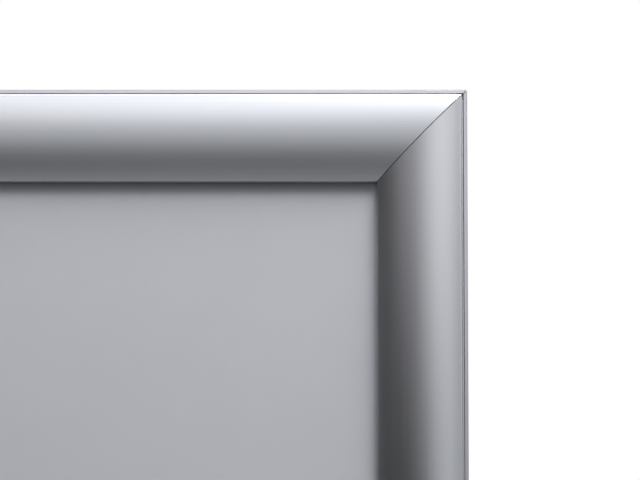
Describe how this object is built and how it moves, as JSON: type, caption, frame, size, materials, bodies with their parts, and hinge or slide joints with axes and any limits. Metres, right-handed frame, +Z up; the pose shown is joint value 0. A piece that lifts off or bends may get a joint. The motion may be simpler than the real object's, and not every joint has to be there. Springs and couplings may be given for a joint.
{
  "type": "sandwich board",
  "caption": "Double-sided folding pavement board: mitred aluminium snap frames with hinged covers round flat display panels, on tube legs joined by a top fold and side stays.",
  "frame": {"origin": "on the ground, under the middle of the fold", "axes": "+Z up, +X to the right as one faces the front leaf, which faces -Y"},
  "size_m": [0.638, 0.5464, 1.1258],
  "materials": {
    "anodised_aluminium": "satin silver anodised, fine drawn lines along each length",
    "galvanised_steel": "matt grey sheet steel",
    "clear_sheet": "clear anti-glare plastic sheet",
    "zinc_casting": "plain zinc casting",
    "spring_steel": "blued spring strip",
    "coated_tube": "silver grey powder coat",
    "plated_steel": "zinc plated",
    "black_moulding": "black moulded plastic, fine texture"
  },
  "bodies": {
    "front_leaf": {"front_back_panel": "galvanised_steel", "front_bottom_cover_spring": "spring_steel", "front_bottom_rail": "anodised_aluminium", "front_corner_bracket_bottom_left": "zinc_casting", "front_corner_bracket_bottom_right": "zinc_casting", "front_corner_bracket_top_left": "zinc_casting", "front_corner_bracket_top_right": "zinc_casting", "front_crossbar": "coated_tube", "front_left_cover_spring": "spring_steel", "front_left_foot": "black_moulding", "front_left_leg": "coated_tube", "front_left_rail": "anodised_aluminium", "front_poster_cover": "clear_sheet", "front_right_cover_spring": "spring_steel", "front_right_foot": "black_moulding", "front_right_leg": "coated_tube", "front_right_rail": "anodised_aluminium", "front_top_cover_spring": "spring_steel", "front_top_rail": "anodised_aluminium", "left_hinge_front_plate": "plated_steel", "left_hinge_pin": "plated_steel", "left_stay_front_bolt": "plated_steel", "right_hinge_front_plate": "plated_steel", "right_hinge_pin": "plated_steel", "right_stay_front_bolt": "plated_steel"},
    "rear_leaf": {"left_hinge_rear_plate": "plated_steel", "left_stay_rear_bolt": "plated_steel", "rear_back_panel": "galvanised_steel", "rear_bottom_cover_spring": "spring_steel", "rear_bottom_rail": "anodised_aluminium", "rear_corner_bracket_bottom_left": "zinc_casting", "rear_corner_bracket_bottom_right": "zinc_casting", "rear_corner_bracket_top_left": "zinc_casting", "rear_corner_bracket_top_right": "zinc_casting", "rear_crossbar": "coated_tube", "rear_left_cover_spring": "spring_steel", "rear_left_foot": "black_moulding", "rear_left_leg": "coated_tube", "rear_left_rail": "anodised_aluminium", "rear_poster_cover": "clear_sheet", "rear_right_cover_spring": "spring_steel", "rear_right_foot": "black_moulding", "rear_right_leg": "coated_tube", "rear_right_rail": "anodised_aluminium", "rear_top_cover_spring": "spring_steel", "rear_top_rail": "anodised_aluminium", "right_hinge_rear_plate": "plated_steel", "right_stay_rear_bolt": "plated_steel"},
    "front_top_cover": {"front_top_snap_cover": "anodised_aluminium"},
    "front_right_cover": {"front_right_snap_cover": "anodised_aluminium"},
    "front_bottom_cover": {"front_bottom_snap_cover": "anodised_aluminium"},
    "front_left_cover": {"front_left_snap_cover": "anodised_aluminium"},
    "rear_top_cover": {"rear_top_snap_cover": "anodised_aluminium"},
    "rear_right_cover": {"rear_right_snap_cover": "anodised_aluminium"},
    "rear_bottom_cover": {"rear_bottom_snap_cover": "anodised_aluminium"},
    "rear_left_cover": {"rear_left_snap_cover": "anodised_aluminium"},
    "left_front_link": {"left_stay_front_link": "plated_steel"},
    "left_rear_link": {"left_stay_rear_link": "plated_steel"},
    "right_front_link": {"right_stay_front_link": "plated_steel"},
    "right_rear_link": {"right_stay_rear_link": "plated_steel"}
  },
  "joints": [
    {"name": "fold", "type": "hinge", "parent": "front_leaf", "child": "rear_leaf", "pos_m": [0, 0, 1.11812], "axis": [-1, 0, 0], "range_deg": [0, 25]},
    {"name": "front_top_cover_hinge", "type": "hinge", "parent": "front_leaf", "child": "front_top_cover", "pos_m": [0, -0.03484, 1.12338], "axis": [-1, 0, 0], "range_deg": [0, 85]},
    {"name": "front_right_cover_hinge", "type": "hinge", "parent": "front_leaf", "child": "front_right_cover", "pos_m": [0.3166, -0.13009, 0.69372], "axis": [0, 0.2164, 0.9763], "range_deg": [0, 85]},
    {"name": "front_bottom_cover_hinge", "type": "hinge", "parent": "front_leaf", "child": "front_bottom_cover", "pos_m": [0, -0.22535, 0.26405], "axis": [1, 0, 0], "range_deg": [0, 85]},
    {"name": "front_left_cover_hinge", "type": "hinge", "parent": "front_leaf", "child": "front_left_cover", "pos_m": [-0.3166, -0.13009, 0.69372], "axis": [0, -0.2164, -0.9763], "range_deg": [0, 85]},
    {"name": "rear_top_cover_hinge", "type": "hinge", "parent": "rear_leaf", "child": "rear_top_cover", "pos_m": [0, 0.03484, 1.12338], "axis": [1, 0, 0], "range_deg": [0, 85]},
    {"name": "rear_right_cover_hinge", "type": "hinge", "parent": "rear_leaf", "child": "rear_right_cover", "pos_m": [-0.3166, 0.13009, 0.69372], "axis": [0, -0.2164, 0.9763], "range_deg": [0, 85]},
    {"name": "rear_bottom_cover_hinge", "type": "hinge", "parent": "rear_leaf", "child": "rear_bottom_cover", "pos_m": [0, 0.22535, 0.26405], "axis": [-1, 0, 0], "range_deg": [0, 85]},
    {"name": "rear_left_cover_hinge", "type": "hinge", "parent": "rear_leaf", "child": "rear_left_cover", "pos_m": [0.3166, 0.13009, 0.69372], "axis": [0, 0.2164, -0.9763], "range_deg": [0, 85]},
    {"name": "left_stay_front_swing", "type": "hinge", "parent": "front_leaf", "child": "left_front_link", "pos_m": [-0.29425, -0.15068, 0.49599], "axis": [1, 0, 0], "range_deg": [0, 73]},
    {"name": "left_stay_rear_swing", "type": "hinge", "parent": "rear_leaf", "child": "left_rear_link", "pos_m": [-0.29125, 0.15068, 0.49599], "axis": [-1, 0, 0], "range_deg": [0, 73]},
    {"name": "right_stay_front_swing", "type": "hinge", "parent": "front_leaf", "child": "right_front_link", "pos_m": [0.29425, -0.15068, 0.49599], "axis": [1, 0, 0], "range_deg": [0, 73]},
    {"name": "right_stay_rear_swing", "type": "hinge", "parent": "rear_leaf", "child": "right_rear_link", "pos_m": [0.29125, 0.15068, 0.49599], "axis": [-1, 0, 0], "range_deg": [0, 73]}
  ],
  "couplings": [
    {"joint": "left_stay_front_swing", "follows": "fold", "ratio": 2.9104},
    {"joint": "left_stay_rear_swing", "follows": "fold", "ratio": 2.9104},
    {"joint": "right_stay_front_swing", "follows": "fold", "ratio": 2.9104},
    {"joint": "right_stay_rear_swing", "follows": "fold", "ratio": 2.9104}
  ]
}
